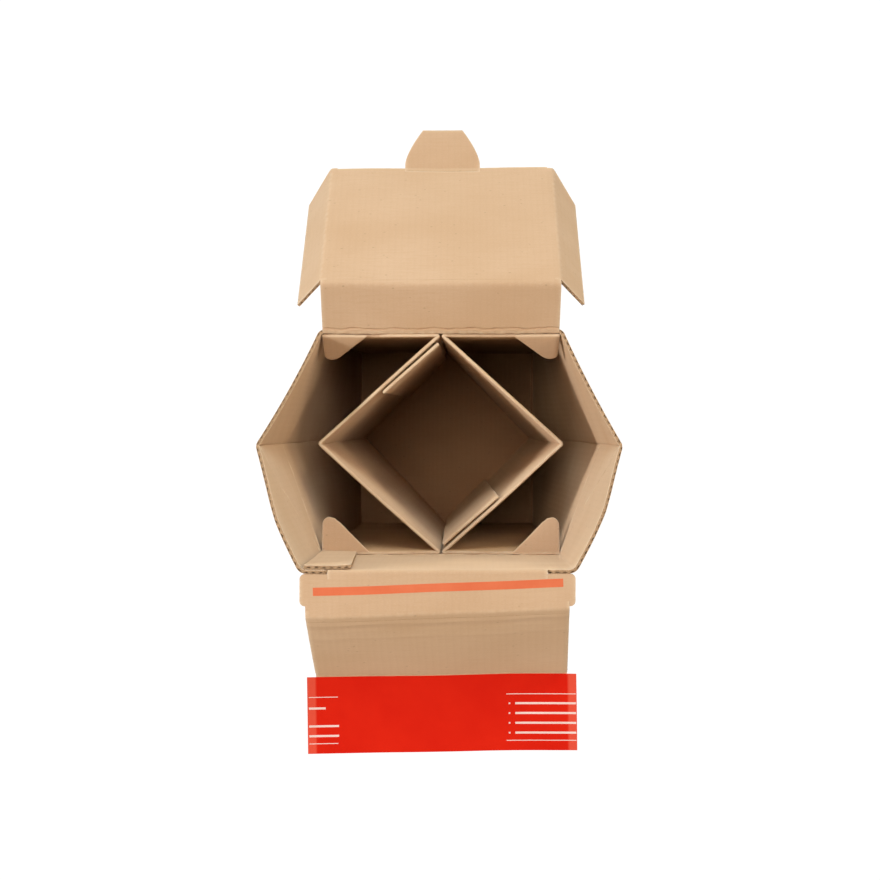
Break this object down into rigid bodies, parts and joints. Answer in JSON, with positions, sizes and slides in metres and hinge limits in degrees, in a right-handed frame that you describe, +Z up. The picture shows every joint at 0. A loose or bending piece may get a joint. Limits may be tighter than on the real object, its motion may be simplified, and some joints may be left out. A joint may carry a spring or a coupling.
{
  "type": "bottle shipping box",
  "caption": "Tall corrugated shipping box, open at the top, with a cornerwise cell for one bottle, a hinged lid with dust flaps and a tongue, and a self-sealing closure flap.",
  "frame": {"origin": "middle of the case's underside", "axes": "+Z up, +Y to the back wall that carries the lid, +X to the right seen from the front"},
  "size_m": [0.1718, 0.3109, 0.4673],
  "materials": {
    "kraft_board": "brown kraft liner, matte",
    "tear_tape": "orange-red tear tape",
    "adhesive": "pressure-sensitive adhesive strip",
    "release_liner": "red siliconised release liner"
  },
  "bodies": {
    "box": {"outer_case": "kraft_board", "cell_right": "kraft_board", "cell_left": "kraft_board"},
    "riser": {"lid_riser": "kraft_board"},
    "lid": {"lid_panel": "kraft_board"},
    "dust_right": {"dust_flap_right": "kraft_board"},
    "dust_left": {"dust_flap_left": "kraft_board"},
    "tongue": {"lid_tongue": "kraft_board"},
    "tear": {"tear_panel": "kraft_board", "tear_tape": "tear_tape"},
    "long": {"long_panel": "kraft_board"},
    "seal": {"seal_panel": "kraft_board", "adhesive_strip": "adhesive", "release_liner": "release_liner"}
  },
  "joints": [
    {"name": "riser_fold", "type": "hinge", "parent": "box", "child": "riser", "pos_m": [0, 0.0563, 0.352], "axis": [1, 0, 0], "range_deg": [-25, 56]},
    {"name": "lid_fold", "type": "hinge", "parent": "riser", "child": "lid", "pos_m": [0, 0.07827, 0.36682], "axis": [1, 0, 0], "range_deg": [-12, 175]},
    {"name": "dust_right_fold", "type": "hinge", "parent": "lid", "child": "dust_right", "pos_m": [0.059, 0.07827, 0.36682], "axis": [0, -0.6293, 0.7771], "range_deg": [-30, 140]},
    {"name": "dust_left_fold", "type": "hinge", "parent": "lid", "child": "dust_left", "pos_m": [-0.059, 0.07827, 0.36682], "axis": [0, 0.6293, -0.7771], "range_deg": [-30, 140]},
    {"name": "tongue_fold", "type": "hinge", "parent": "lid", "child": "tongue", "pos_m": [0, 0.14655, 0.2825], "axis": [1, 0, 0], "range_deg": [-23, 67]},
    {"name": "tear_fold", "type": "hinge", "parent": "box", "child": "tear", "pos_m": [0, -0.05462, 0.466], "axis": [-1, 0, 0], "range_deg": [-30, 180]},
    {"name": "long_fold", "type": "hinge", "parent": "tear", "child": "long", "pos_m": [0, -0.07232, 0.466], "axis": [-0.9994, -0.0349, 0], "range_deg": [-10, 54]},
    {"name": "seal_fold", "type": "hinge", "parent": "long", "child": "seal", "pos_m": [0.00113, -0.10462, 0.4215], "axis": [-0.9994, -0.0103, 0.0339], "range_deg": [-57, 30]}
  ]
}
